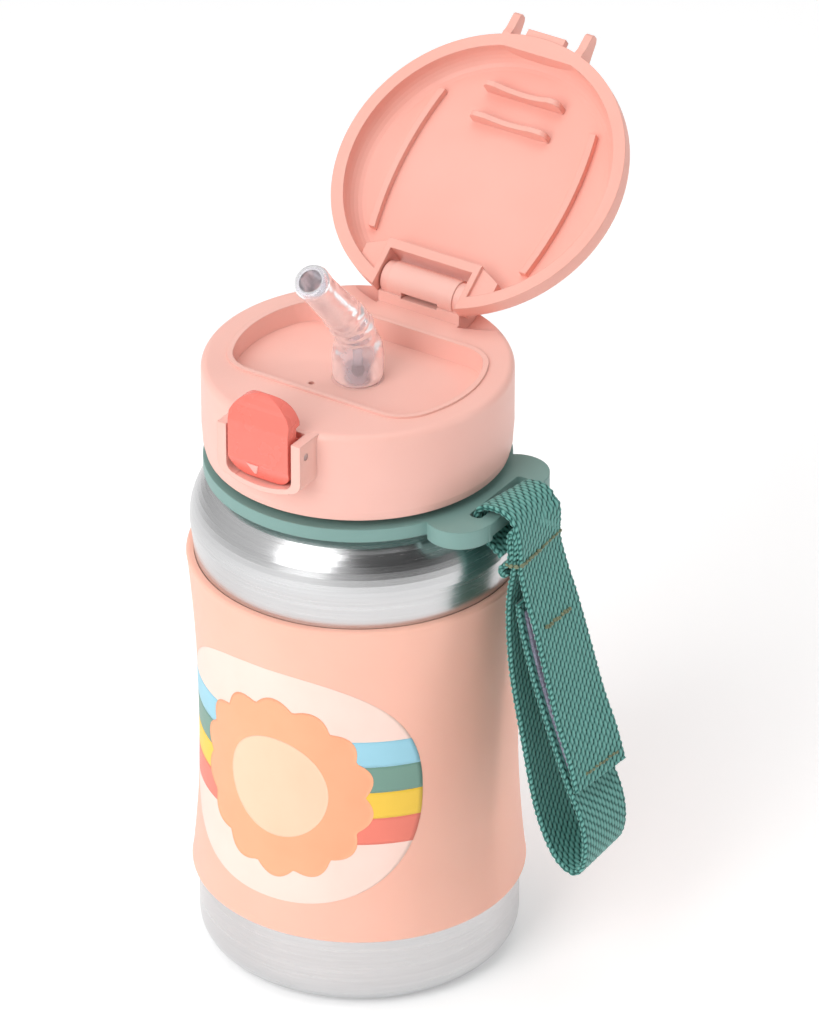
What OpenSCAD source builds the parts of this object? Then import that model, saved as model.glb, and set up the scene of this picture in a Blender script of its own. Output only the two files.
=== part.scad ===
// Insulated steel toddler bottle with a screw lid, a flip cover over a soft straw, a push
// button latch, a soft sleeve and a webbing wrist strap on a loose ring.
// Millimetres. +Z is up and the origin is the centre of the base. The button faces -Y, the cover's
// hinge is at +Y and the strap hangs on the +X side.

/* [Body] */
// Outer radius of the steel wall just above the base
base_r = 40; // [39:0.5:40.5]
// Outer radius of the steel wall at its waist
waist_r = 37.4; // [36.8:0.1:38]
// Height of the waist
waist_z = 58; // [52:1:64]
// Outer radius of the steel wall where the shoulder starts
bulge_r = 41.2; // [40.6:0.1:41.6]
// Height where the shoulder starts
bulge_z = 118.5; // [117:0.5:120]
// Height of the mouth rim
mouth_z = 152; // [151:0.5:152.5]

/* [Sleeve] */
// Lower edge of the soft sleeve
sleeve_z0 = 20; // [16:1:30]
// Upper edge of the soft sleeve
sleeve_z1 = 109.6; // [100:0.1:112]
// Thickness of the soft sleeve
sleeve_t = 2; // [1.2:0.1:2.4]

/* [Lid] */
// Outer radius of the lid
lid_r = 38; // [37.5:0.1:38.5]
// Height of the lid's lower edge
lid_z0 = 138.2; // [137.8:0.1:139]
// Height of the lid's flat top
deck_z = 161.6; // [161:0.1:162]
// Depth of the straw recess in the lid's top
recess_depth = 5; // [4:0.5:5.5]
// Angle between the open cover and the closed one
cover_open = 143.2; // [110:0.1:143.2]

/* [Strap] */
// Width of the webbing
web_w = 20; // [16:1:20]
// Thickness of the webbing
web_t = 1.6; // [1.2:0.1:1.6]

/* [Hidden] */
$fn = 96;
eps = 0.01;

// Steel flask
shell_t = 0.7;
liner_t = 0.6;
vacuum_gap = 2.6;
base_edge_r = 6;
base_cap_r = 31;
shoulder_rz = 14;
shoulder_rr = 12;
neck_r = 31.2;
neck_liner_r = 30.4;
wall_steps = 24;

// Screw thread between the neck and the lid
thread_lead = 6;
thread_turns = 1.25;
thread_depth = 1.1;
thread_start_z = 141.2;
thread_steps = 60;
insert_r = 32.8;

// Lid, recess, hinge and latch
lid_wall = 2.2;
floor_z = deck_z - recess_depth;
floor_t = 2;
recess_r = 30.4;
recess_half = 18.6;
recess_corner = 9;
lip_w = 1.4;
lip_h = 0.5;
vent_pos = [-7.8, -8.5];
vent_r = 0.75;
straw_hole_r = 6.3;
hinge_y = 31.25;
hinge_z = deck_z + 5;
knuckle_r = 4.3;
knuckle_half = 11.4;
block_half = 11.7;
hinge_pin_r = 1.25;
cover_gap = 0.15;
cover_edge = 3.2;
cover_depth = 7.2;
cover_crown = 1.3;
cover_roof = 6;
cover_in_r = 34.8;
housing_half = 11.9;
housing_y = -43.2;
housing_z0 = 146;
housing_z1 = 161.5;
housing_sag_r = 24;
pocket_half = 9.3;
pocket_y = -37;
button_half = 8.6;
button_y = -43.5;
button_z0 = 148.2;
button_z1 = 171.4;
button_top_r = 9.2;
button_corner = 5;
button_back = -38.3;
button_pin_y = -40.6;
button_pin_z = 157.8;
button_pin_r = 0.9;
spring_z = 152.6;

// Spout
spout_bend_z = 162;
spout_lean = 42.6;
spout_len = 29;
straw_r = 4;
straw_bore = 2.7;

// Strap ring and webbing
ring_z0 = 132.4;
ring_t = 3.5;
ring_in_r = 33.2;
ring_out_r = 37.7;
bar_x = 44.2;
bar_half = 1.8;
slot_in_x = 39;
slot_half = 11.2;
lobe_x = 37.3;
lobe_y = 12.5;
lobe_r = 8.4;
lobe_drop = 1.1;
bar_z = ring_z0 + ring_t / 2;
wrap_in_r = 2.9;
web_y = 0.4;
// Webbing routes, as [x, z] points seen along Y
loop_route = [[48.5, 123.7], [48.2, 112], [49.7, 94], [52.8, 77], [57.2, 58.5], [62.6, 46.2], [68.2, 42.6],
    [71.6, 47.8], [70.8, 57.6], [66.6, 67.2], [62, 77.6], [56.3, 93.4], [51.9, 112.2], [50.8, 122.7]];
tab_route = [[53.5, 120.8], [56, 111.5], [59.6, 98.4], [64.2, 84], [68, 74.4], [70.6, 65]];

function half_wave(z) = z < waist_z
    ? waist_r + (base_r - waist_r) * pow((waist_z - z) / (waist_z - 17), 2)
    : waist_r + (bulge_r - waist_r) * pow((z - waist_z) / (bulge_z - waist_z), 2);

// Outer radius of the steel wall at height z, up to the neck
function wall_r(z) = z < 17 ? base_r
    : z <= bulge_z ? half_wave(z)
    : bulge_r - shoulder_rr + shoulder_rr * sqrt(max(0, 1 - pow((z - bulge_z) / shoulder_rz, 2)));

// Points of the wall between two heights, moved inwards by d
function wall_line(z0, z1, d, n = wall_steps) = [for (i = [0:n])
    let (z = z0 + (z1 - z0) * i / n) [wall_r(z) - d, z]];

// Points of an arc around c, from angle a0 to a1
function arc(c, r, a0, a1, n = 8) = [for (i = [0:n])
    let (a = a0 + (a1 - a0) * i / n) [c[0] + r * cos(a), c[1] + r * sin(a)]];

// Points of the shoulder's ellipse, moved inwards by d
function shoulder_line(d, r_end) = let (c = bulge_r - shoulder_rr, a1 = acos((r_end - c) / (shoulder_rr - d)))
    [for (i = [1:12]) let (a = a1 * i / 12)
        [c + (shoulder_rr - d) * cos(a), bulge_z + (shoulder_rz - d) * sin(a)]];

// A smooth line through the given points, with n steps between each two
function smooth(p, n = 5) = let (m = len(p) - 1) concat([for (i = [0:m - 1], k = [0:n - 1])
    let (t = k / n, a = p[max(i - 1, 0)], b = p[i], c = p[i + 1], d = p[min(i + 2, m)])
    0.5 * (2 * b + (c - a) * t + (2 * a - 5 * b + 4 * c - d) * t * t
        + (3 * b - a - 3 * c + d) * t * t * t)], [p[m]]);

// Unit normal to a line at point i
function line_normal(p, i) = let (d = p[min(i + 1, len(p) - 1)] - p[max(i - 1, 0)]) [-d[1], d[0]] / norm(d);

// Closed outline of a band of thickness t along a line
function band(p, t) = concat([for (i = [0:len(p) - 1]) p[i] + line_normal(p, i) * t / 2],
    [for (i = [len(p) - 1:-1:0]) p[i] - line_normal(p, i) * t / 2]);

// Extrudes an outline drawn in [x, z] along Y, centred on y
module along_y(width, y = 0) {
    translate([0, y + width / 2, 0])
        rotate([90, 0, 0])
            linear_extrude(width) children();
}

// Extrudes an outline drawn in [y, z] along X, between x0 and x1
module along_x(x0, x1) {
    translate([x0, 0, 0])
        rotate([90, 0, 90])
            linear_extrude(x1 - x0) children();
}

// A ring with the given bore, between two heights
module tube(r_out, r_in, z0, z1) {
    translate([0, 0, z0])
        difference() {
            cylinder(r = r_out, h = z1 - z0);
            translate([0, 0, -eps]) cylinder(r = r_in, h = z1 - z0 + 2 * eps);
        }
}

// A cylinder along X
module x_rod(r, x0, x1, y, z) {
    translate([x0, y, z])
        rotate([0, 90, 0]) cylinder(r = r, h = x1 - x0);
}

// A disc cut straight at both y ends, with round corners
module lens(r, half, corner) {
    cx = sqrt(pow(r - corner, 2) - pow(half - corner, 2));
    cy = half - corner;
    a = atan2(cy, cx);
    for (s = [-1, 1]) {
        intersection() {
            circle(r);
            polygon([[0, 0], [s * 2 * r * cos(a), 2 * r * sin(a)], [s * 2 * r * cos(a), -2 * r * sin(a)]]);
        }
        for (t = [-1, 1]) translate([s * cx, t * cy]) circle(corner);
    }
    square([2 * cx, 2 * half], center = true);
}

// A helical ridge: foot on radius r, crest thread_depth away from it on the side given by way
module thread_ridge(r, way, z0, turns, wide, tip) {
    n = round(thread_steps * turns);
    deep = 0.5;
    // Each section fades to a sliver at both ends of the ridge
    function fade(i) = min(1, min(i, n - i) / 5 + 0.05);
    section = [for (i = [0:n]) let (a = 360 * turns * i / n, z = z0 + thread_lead * turns * i / n, f = fade(i))
        for (q = [[-deep, -wide / 2], [f * thread_depth, -tip / 2], [f * thread_depth, tip / 2],
            [-deep, wide / 2]])
            let (rr = r + way * q[0]) [rr * cos(a), rr * sin(a), z + q[1]]];
    sides = [for (i = [0:n - 1], k = [0:3]) let (a = 4 * i + k, b = 4 * i + (k + 1) % 4)
        way > 0 ? [a, b, b + 4, a + 4] : [a, a + 4, b + 4, b]];
    ends = way > 0 ? [[3, 2, 1, 0], [4 * n, 4 * n + 1, 4 * n + 2, 4 * n + 3]]
        : [[0, 1, 2, 3], [4 * n + 3, 4 * n + 2, 4 * n + 1, 4 * n]];
    polyhedron(points = section, faces = concat(sides, ends), convexity = 6);
}

// A closed helical wire around Z, used for both springs
module coil(r, wire, turns, height, per_turn = 20, sides = 8) {
    n = round(turns * per_turn);
    ring_points = [for (i = [0:n], k = [0:sides - 1])
        let (a = 360 * turns * i / n, b = 360 * k / sides, rr = r + wire * cos(b))
            [rr * cos(a), rr * sin(a), height * i / n + wire * sin(b)]];
    skin = [for (i = [0:n - 1], k = [0:sides - 1]) let (k2 = (k + 1) % sides)
        [i * sides + k, (i + 1) * sides + k, (i + 1) * sides + k2, i * sides + k2]];
    polyhedron(points = ring_points, faces = concat(skin, [[for (k = [0:sides - 1]) k],
        [for (k = [sides - 1:-1:0]) n * sides + k]]), convexity = 6);
}

// Pressed outer wall of the flask, with the screw thread on its neck
module outer_shell() {
    c = [base_r - base_edge_r, base_edge_r];
    outer = concat([[base_cap_r + 0.2, 0]], arc(c, base_edge_r, -90, 0), wall_line(17, bulge_z, 0),
        shoulder_line(0, neck_r), [[neck_r, mouth_z - 1], [neck_r - shell_t, mouth_z - 0.6]]);
    inner = concat([[base_cap_r + 0.2, shell_t]], arc(c, base_edge_r - shell_t, -90, 0),
        wall_line(17, bulge_z, shell_t),
        shoulder_line(shell_t, neck_r - shell_t));
    color("silver") {
        rotate_extrude() polygon(concat(outer, [for (i = [len(inner) - 1:-1:0]) inner[i]]));
        thread_ridge(neck_r, 1, thread_start_z, thread_turns, 2.4, 1);
    }
}

// Welded disc that closes the flask from below
module base_cap() {
    color("silver")
        cylinder(r = base_cap_r, h = 0.8);
}

// Inner wall of the flask, from its dished floor to the rolled mouth rim
module inner_liner() {
    inset = shell_t + vacuum_gap;
    low = 14;
    foot = 12;
    foot_c = [wall_r(low) - inset - foot, low + 4];
    outer = concat([[0, foot_c[1] - foot]], arc(foot_c, foot, -90, 0), wall_line(24, bulge_z, inset),
        shoulder_line(inset, neck_liner_r), [[neck_liner_r, mouth_z - 0.5]],
        arc([neck_liner_r - 0.1, mouth_z - 0.5], 0.8, 0, 120, 6));
    inner = concat([[0, foot_c[1] - foot + liner_t]], arc(foot_c, foot - liner_t, -90, 0),
        wall_line(24, bulge_z, inset + liner_t),
        shoulder_line(inset + liner_t, neck_liner_r - liner_t),
        [[neck_liner_r - liner_t - 0.1, mouth_z - 0.5]]);
    color("gainsboro")
        rotate_extrude() polygon(concat(outer, [for (i = [len(inner) - 1:-1:0]) inner[i]]));
}

// Soft sleeve stretched over the waist
module sleeve() {
    gap = 0.1;
    round_r = 0.8;
    r0 = wall_r(sleeve_z0) + sleeve_t;
    r1 = wall_r(sleeve_z1) + sleeve_t;
    outer = concat(arc([r0 - round_r, sleeve_z0 + round_r], round_r, -90, 0, 5),
        wall_line(sleeve_z0 + 2, sleeve_z1 - 2, -sleeve_t),
        arc([r1 - round_r, sleeve_z1 - round_r], round_r, 0, 90, 5));
    inner = wall_line(sleeve_z0, sleeve_z1, -gap);
    color([0.96, 0.7, 0.61])
        rotate_extrude() polygon(concat(outer, [for (i = [len(inner) - 1:-1:0]) inner[i]]));
}

// Upright outline with a sagging lower edge and two round lower corners, drawn in [x, z]
module u_outline(half, z0, z1, corner) {
    corner_z = z0 + housing_sag_r - sqrt(pow(housing_sag_r - corner, 2) - pow(half - corner, 2));
    for (s = [-1, 1]) translate([s * (half - corner), corner_z]) circle(corner);
    translate([-half, corner_z]) square([2 * half, z1 - corner_z]);
    intersection() {
        translate([0, z0 + housing_sag_r]) circle(housing_sag_r);
        translate([-half + corner, z0 - 1]) square([2 * (half - corner), 10]);
    }
}

// Frame of the latch at the lid's front: two side walls joined by a lower lip
module housing() {
    difference() {
        along_y(10, housing_y + 5) u_outline(housing_half, housing_z0, housing_z1, 3.4);
        cylinder(r = lid_r - lid_wall / 2, h = 2 * deck_z);
    }
}

// Space behind and around the button, and the holes for its pin
module button_pocket() {
    along_y(30, pocket_y - 15) u_outline(pocket_half, housing_z0 + 1.5, 2 * deck_z, 2.6);
    x_rod(button_pin_r + 0.02, -housing_half - 1, housing_half + 1, button_pin_y, button_pin_z);
}

// Hollows beside the hinge block, where the cover's rear rim swings down
module swing_relief() {
    for (s = [-1, 1]) mirror([s < 0 ? 1 : 0, 0, 0])
        translate([block_half, hinge_y, hinge_z]) rotate([0, 90, 0]) cylinder(r1 = 7.2, r2 = 5.15, h = 8.7);
}

// Fixed knuckle of the cover's hinge, on its block
module knuckle() {
    crown = 0.35;
    difference() {
        union() {
            intersection() {
                translate([-block_half, 27, deck_z - 1]) cube([2 * block_half, 9.2, 4]);
                cylinder(r = lid_r, h = 2 * deck_z);
            }
            x_rod(knuckle_r - crown, -knuckle_half, knuckle_half, hinge_y, hinge_z);
            x_rod(knuckle_r, -knuckle_half + 2, knuckle_half - 2, hinge_y, hinge_z);
            translate([-knuckle_half, hinge_y - 2.6, deck_z + 2]) cube([2 * knuckle_half, 6, 3]);
        }
        x_rod(hinge_pin_r + 0.02, -20, 20, hinge_y, hinge_z);
        x_rod(3.1, -5.2, 5.2, hinge_y, hinge_z);
        // Window for the spring's leg
        translate([-5.2, hinge_y - 8, hinge_z - 2.6]) cube([10.4, 6, 1.6]);
    }
}

// Lid shell: skirt, flat top with the straw recess, latch frame and hinge knuckle
module lid_base() {
    edge = 1.8;
    skirt_in = lid_r - lid_wall;
    profile = concat([[skirt_in, lid_z0], [lid_r - 0.9, lid_z0], [lid_r - 0.35, lid_z0 + 2.2],
        [lid_r, lid_z0 + 7.5]],
        arc([lid_r - edge, deck_z - edge], edge, 0, 90, 8), [[0, deck_z], [0, deck_z - recess_depth - floor_t],
        [skirt_in, deck_z - recess_depth - floor_t]]);
    color([0.98, 0.79, 0.73])
        difference() {
            union() {
                rotate_extrude() polygon(profile);
                housing();
                knuckle();
                translate([0, 0, deck_z - 1]) linear_extrude(1 + lip_h)
                    lens(recess_r + lip_w, recess_half + lip_w, recess_corner + lip_w);
            }
            translate([0, 0, floor_z]) linear_extrude(20) lens(recess_r, recess_half, recess_corner);
            translate([0, 0, floor_z - 10]) cylinder(r = straw_hole_r, h = 20);
            translate([vent_pos[0], vent_pos[1], floor_z - 10]) cylinder(r = vent_r, h = 20);
            button_pocket();
            swing_relief();
        }
}

// Threaded ring pressed into the skirt
module lid_insert() {
    top = floor_z - floor_t - 0.05;
    color([0.97, 0.9, 0.87]) {
        tube(lid_r - lid_wall - 0.05, insert_r, lid_z0 + 0.6, top);
        // Flange above the mouth, open at the middle for the straw
        tube(insert_r + 0.5, 14, top - 0.9, top);
        thread_ridge(insert_r, -1, thread_start_z + thread_lead / 2 + 0.1, thread_turns, 2.2, 0.9);
    }
}

// Soft ring between the lid and the mouth rim
module lid_seal() {
    color("white")
        tube(insert_r - 0.1, 28.4, mouth_z + 0.45, floor_z - floor_t - 1.05);
}

// Cover as it sits when shut: the rim rests just above the deck
module cover_shut() {
    rim = deck_z + cover_gap;
    wall = cover_in_r;
    roof = rim + cover_roof;
    crown_r = (pow(33, 2) + pow(cover_crown, 2)) / (2 * cover_crown);
    crown_a = asin(33 / crown_r);
    outer = concat([[0, rim], [lid_r, rim], [lid_r, rim + cover_edge]],
        [for (i = [1:8]) let (a = 90 * i / 8)
            [33 + 5 * cos(a), rim + cover_edge + (cover_depth - cover_edge) * sin(a)]],
        [for (i = [1:8]) let (a = crown_a * (1 - i / 8))
            [crown_r * sin(a), rim + cover_depth + cover_crown - crown_r * (1 - cos(a))]]);
    hollow = concat([[0, rim - 1], [wall, rim - 1], [wall, rim + 1.5]],
        [for (i = [1:6]) let (a = 90 * i / 6)
            [wall - 4 + 4 * cos(a), rim + 1.5 + (cover_roof - 1.5) * sin(a)]], [[0, roof]]);
    difference() {
        union() {
            difference() {
                rotate_extrude() polygon(outer);
                intersection() {
                    rotate_extrude() polygon(hollow);
                    translate([-60, -33.4, 0]) cube([120, 120, 2 * deck_z]);
                }
            }
            hinge_box(rim, roof);
            ribs(roof);
        }
        // Slot for the knuckle, open to the rear, and the holes for the hinge pin
        translate([-11.8, 25.8, rim - 1]) cube([23.6, 30, 20]);
        x_rod(hinge_pin_r + 0.02, -13.3, 13.3, hinge_y, hinge_z);
    }
    hinge_ears();
    latch(rim);
}

// Walls around the knuckle slot, with a gusset at each side
module hinge_box(rim, roof) {
    intersection() {
        union() {
            translate([-13.4, 23.3, rim]) cube([26.8, 14, roof - rim + 0.5]);
            for (s = [-1, 1]) mirror([s < 0 ? 1 : 0, 0, 0])
                translate([0, 0, rim + 1]) linear_extrude(roof - rim)
                    polygon([[13, 23.3], [19, 26.2], [19, 33], [13, 36]]);
        }
        cylinder(r = cover_in_r + 1, h = 2 * deck_z);
    }
}

// Two ears that carry the hinge pin outside the fixed knuckle
module hinge_ears() {
    for (s = [-1, 1]) mirror([s < 0 ? 1 : 0, 0, 0])
        difference() {
            union() {
                x_rod(4.1, knuckle_half + 0.4, 13.4, hinge_y, hinge_z);
                translate([11.8, 25.8, deck_z + cover_gap]) cube([1.6, hinge_y - 25.8, 5.6]);
            }
            x_rod(hinge_pin_r + 0.02, 8, 13.3, hinge_y, hinge_z);
        }
}

// Ribs under the cover's roof: two long stiffeners and two short ones that pinch the straw
module ribs(roof) {
    for (s = [-1, 1]) {
        // Long stiffener, bowed a little
        translate([s * (24 - 95), 0.5, roof - 1.9]) intersection() {
            difference() {
                cylinder(r = 95 + 0.9, h = 2.6);
                translate([0, 0, -1]) cylinder(r = 95 - 0.9, h = 4);
            }
            translate([s > 0 ? 0 : -100, -20, -1]) cube([100, 40, 4]);
        }
    }
    short_rib(-23.4, 4.7, 1.7, roof);
    short_rib(-15, 3.9, 1.1, roof);
}

// A short cross rib with round ends and a shallow dip at its middle
module short_rib(y, tall, dip, roof) {
    half = 11;
    end_r = 2;
    translate([0, y + 0.7, 0]) rotate([90, 0, 0]) linear_extrude(1.4)
        difference() {
            union() {
                for (s = [-1, 1]) translate([s * (half - end_r), roof - tall + end_r]) circle(end_r);
                translate([-half, roof - tall + end_r]) square([2 * half, tall - end_r + 0.5]);
                translate([-half + end_r, roof - tall]) square([2 * (half - end_r), tall]);
            }
            // Wide arc that cuts the dip
            translate([0, roof - tall + dip - 18]) circle(18);
        }
}

// Catch bar and the two horns beside the button
module latch(rim) {
    bar_reach = 39.5;
    translate([-5.4, -bar_reach, rim + 0.2]) cube([10.8, bar_reach - 36.6, 2]);
    for (s = [-1, 1])
        translate([s * 10.4, 0, 0]) along_x(-1.1, 1.1)
            polygon([[-34.9, rim], [-37, rim], [-38.4, rim + 0.5], [-42.4, rim + 0.6], [-43.1, rim + 1.2],
                [-43.1, rim + 2.8], [-42.2, rim + 3.6], [-36, rim + 5.6]]);
}

// Flip cover, held open at its stop
module flip_cover() {
    color([0.98, 0.8, 0.74])
        translate([0, hinge_y, hinge_z]) rotate([-cover_open, 0, 0])
            translate([0, -hinge_y, -hinge_z]) cover_shut();
}

// Steel pin of the cover's hinge
module hinge_pin() {
    color("silver")
        x_rod(hinge_pin_r, -13.2, 13.2, hinge_y, hinge_z);
}

// Torsion spring inside the knuckle
module hinge_spring() {
    color("dimgray")
        translate([-4.4, hinge_y, hinge_z]) rotate([0, 90, 0]) coil(2.3, 0.4, 7, 8.8);
}

// Rocking button: round top with a hook behind it, flat middle and a sloping press face below
module lock_button() {
    hook_z = deck_z + cover_gap + 2.5;
    side = concat([[button_y, 153.3], [button_y, 163.4]],
        [for (i = [0:10]) let (a = 180 - 18 * i)
            [-40.35 + 2.05 * cos(a), 167.6 + (button_z1 - 167.6) * sin(a)]], [[button_back, hook_z + 0.2],
        [-39.8, hook_z], [-39.8, 161.4],
        [button_back, 160.8], [button_back, 150.6], [-39.4, button_z0], [button_y + 2.2, button_z0]]);
    color([0.98, 0.5, 0.44])
        difference() {
            intersection() {
                along_x(-button_half, button_half) polygon(side);
                along_y(40, -40) {
                    translate([0, button_z1 - button_top_r]) intersection() {
                        circle(button_top_r);
                        translate([-button_half, 0]) square([2 * button_half, 2 * button_half]);
                    }
                    translate([-button_half, button_z0 + button_corner])
                        square([2 * button_half, button_z1 - button_top_r - button_z0 - button_corner + 3]);
                    translate([-button_half + button_corner, button_z0])
                        square([2 * (button_half - button_corner), button_corner + 1]);
                    for (s = [-1, 1])
                        translate([s * (button_half - button_corner), button_z0 + button_corner])
                            circle(button_corner);
                }
            }
            x_rod(button_pin_r + 0.03, -20, 20, button_pin_y, button_pin_z);
            // Seat of the return spring
            translate([0, -39.6, spring_z]) rotate([-90, 0, 0]) cylinder(r = 2.1, h = 6);
        }
}

// Pin through the latch frame and the button
module button_pin() {
    color("dimgray")
        x_rod(button_pin_r, -housing_half + 0.1, housing_half - 0.1, button_pin_y, button_pin_z);
}

// Return spring behind the button's lower half
module button_spring() {
    color("dimgray")
        translate([0, -39.3, spring_z]) rotate([-90, 0, 0]) coil(1.4, 0.2, 4, 1.9, 16);
}

// Lower half of the soft spout: socket for the straw, flange under the deck and barrel
module spout_stem() {
    under = floor_z - floor_t;
    color([0.93, 0.9, 0.92, 0.6])
        rotate_extrude() polygon([[straw_r + 0.05, under - 7], [5.6, under - 7], [5.8, under - 2],
            [9, under - 1.6], [9, under - 0.1], [straw_hole_r - 0.3, under - 0.1],
            [straw_hole_r - 0.3, floor_z + 0.3], [6.4, floor_z + 2.6],
            [6.4, spout_bend_z - 0.1], [straw_bore, spout_bend_z - 0.1], [straw_bore, under - 2],
            [straw_r + 0.05, under - 2]]);
}

// Upper half of the soft spout, bent forwards to the drinking tip
module spout_tip() {
    bend = [0, 0, 170.6];
    color([0.93, 0.9, 0.92, 0.6])
        difference() {
            union() {
                rotate_extrude() polygon([[0, spout_bend_z + 0.1], [6.4, spout_bend_z + 0.1], [6.3, 165],
                    [5.2, 169.4], [4.6, 171], [0, 171]]);
                translate(bend) {
                    sphere(r = 5);
                    rotate([spout_lean, 0, 0]) cylinder(r1 = 4.9, r2 = 4.4, h = spout_len);
                    rotate([spout_lean, 0, 0]) translate([0, 0, spout_len - 1.8]) cylinder(r = 4.6, h = 1.8);
                }
            }
            rotate_extrude() polygon([[0, spout_bend_z - 1], [straw_bore, spout_bend_z - 1], [straw_bore, 166],
                [2, 170.6], [0, 170.6]]);
            translate(bend) {
                sphere(r = 2);
                rotate([spout_lean, 0, 0]) cylinder(r = 2, h = 2 * spout_len);
            }
        }
}

// Drinking straw down to the flask's floor
module straw_tube() {
    color([0.97, 0.95, 0.94])
        tube(straw_r, straw_bore, 12, floor_z - floor_t - 2.1);
}

// Air valve under the vent hole: a collar that narrows to a slit
module vent_valve() {
    top = floor_z - floor_t - 0.1;
    color("white")
        translate([vent_pos[0], vent_pos[1], 0])
            rotate_extrude() polygon([[0.6, top], [1.8, top], [1.8, top - 0.8], [1.3, top - 1],
                [0.7, top - 3.4], [0.3, top - 3.4]]);
}

// Loose ring around the neck, with a slotted lug for the strap
module strap_ring() {
    color([0.45, 0.64, 0.58])
        difference() {
            union() {
                translate([0, 0, ring_z0]) linear_extrude(ring_t) {
                    circle(ring_out_r);
                    lug_outline();
                }
                // The lobes are thicker than the ring, below it
                translate([0, 0, ring_z0 - lobe_drop]) linear_extrude(lobe_drop + 0.1)
                    difference() {
                        lug_outline();
                        circle(ring_out_r + 0.3);
                        translate([30, -slot_half]) square([30, 2 * slot_half]);
                    }
            }
            translate([0, 0, ring_z0 - 5]) linear_extrude(20) {
                circle(ring_in_r);
                translate([slot_in_x, -slot_half + 1.2])
                    square([bar_x - bar_half - slot_in_x, 2 * slot_half - 2.4]);
                for (s = [-1, 1]) hull() for (k = [0, 1])
                    translate([slot_in_x + 1.2 + k * (bar_x - bar_half - slot_in_x - 2.4),
                        s * (slot_half - 1.2)])
                        circle(1.2, $fn = 32);
            }
        }
}

// Plan of the lug: two lobes joined by the bar
module lug_outline() {
    for (s = [-1, 1]) translate([lobe_x, s * lobe_y]) circle(lobe_r);
    translate([30, -lobe_y]) square([lobe_x + lobe_r - 30.3, 2 * lobe_y]);
    translate([40, -lobe_y]) square([bar_x + bar_half - 40, 2 * lobe_y]);
}

// Turn of webbing around the lug's bar, with the cinched folds below it
module strap_wrap() {
    out_r = wrap_in_r + web_t;
    color([0.36, 0.62, 0.56])
        difference() {
            union() {
                translate([bar_x, web_y + web_w / 2, bar_z]) rotate([90, 0, 0]) cylinder(r = out_r, h = web_w);
                along_y(web_w, web_y) polygon([[bar_x - 1.6, bar_z - 3.6], [bar_x + out_r - 0.1, bar_z - 0.5],
                    [54, 124], [53.3, 122.2], [47.4, 124.6], [46, 127]]);
            }
            translate([bar_x, 40, bar_z]) rotate([90, 0, 0]) cylinder(r = wrap_in_r, h = 80);
        }
}

// Hand loop of the strap
module strap_loop() {
    color([0.36, 0.62, 0.56])
        along_y(web_w, web_y) polygon(band(smooth(loop_route), web_t));
}

// Soft pile strip sewn to the outer face of the hand loop
module pile_strip() {
    route = smooth([for (i = [12:-1:9]) loop_route[i] + [1.17, 0.38]]);
    color([0.68, 0.66, 0.76])
        along_y(web_w - 4, web_y) polygon(band(route, 0.8));
}

// Free end of the strap
module strap_tab() {
    color([0.36, 0.62, 0.56])
        along_y(web_w, web_y) polygon(band(smooth(tab_route), web_t));
}

// Hook strip sewn to the inner face of the free end
module hook_strip() {
    route = smooth([for (i = [1:4]) tab_route[i] - [1.17, 0.4]]);
    color([0.68, 0.66, 0.76])
        along_y(web_w - 3, web_y) polygon(band(route, 0.8));
}

outer_shell();
base_cap();
inner_liner();
sleeve();
lid_base();
lid_insert();
lid_seal();
flip_cover();
hinge_pin();
hinge_spring();
lock_button();
button_pin();
button_spring();
spout_stem();
spout_tip();
straw_tube();
vent_valve();
strap_ring();
strap_wrap();
strap_loop();
pile_strip();
strap_tab();
hook_strip();
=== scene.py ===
"""Looks of an insulated toddler straw bottle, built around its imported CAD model.

Metres, +Z up, button at -Y, strap at +X.
"""

import math

import bpy
import numpy as np
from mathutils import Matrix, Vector
from mathutils.bvhtree import BVHTree


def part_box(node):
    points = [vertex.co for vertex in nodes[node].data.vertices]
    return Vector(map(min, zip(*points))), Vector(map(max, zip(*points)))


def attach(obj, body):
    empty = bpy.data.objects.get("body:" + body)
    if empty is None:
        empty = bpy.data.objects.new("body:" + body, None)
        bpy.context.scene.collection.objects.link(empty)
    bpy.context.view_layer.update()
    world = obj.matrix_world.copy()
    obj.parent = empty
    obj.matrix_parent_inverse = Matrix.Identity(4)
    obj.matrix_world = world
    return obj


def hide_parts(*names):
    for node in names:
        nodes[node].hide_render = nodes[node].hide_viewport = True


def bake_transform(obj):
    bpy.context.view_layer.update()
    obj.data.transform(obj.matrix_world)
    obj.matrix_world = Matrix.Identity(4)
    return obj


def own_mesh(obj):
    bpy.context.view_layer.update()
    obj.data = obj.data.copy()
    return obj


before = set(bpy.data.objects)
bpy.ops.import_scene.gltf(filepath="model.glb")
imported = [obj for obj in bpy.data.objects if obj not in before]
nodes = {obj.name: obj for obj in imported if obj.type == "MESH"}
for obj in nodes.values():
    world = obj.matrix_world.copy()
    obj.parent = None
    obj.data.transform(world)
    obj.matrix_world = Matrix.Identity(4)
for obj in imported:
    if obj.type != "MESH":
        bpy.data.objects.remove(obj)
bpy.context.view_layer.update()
MM = 0.001
WORLD_LEVEL = 0.42

# ---------------------------------------------------------------- camera
AZIMUTH = math.radians(33.0)
ELEVATION = math.radians(30.6)
AIM_Z = 85 * MM            # the height that the view is measured from
DISTANCE = 2213.5 * MM
SIDE_STEP = 12.49 * MM     # the camera stands a little right of that line
RISE = 28.97 * MM
SENSOR = 36.0
LENS = 316.4



def direction(azimuth, elevation):
    """The unit vector towards an azimuth, from -Y round to +X, and an elevation."""
    flat = math.cos(elevation)
    return Vector((math.sin(azimuth) * flat, -math.cos(azimuth) * flat, math.sin(elevation)))


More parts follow.
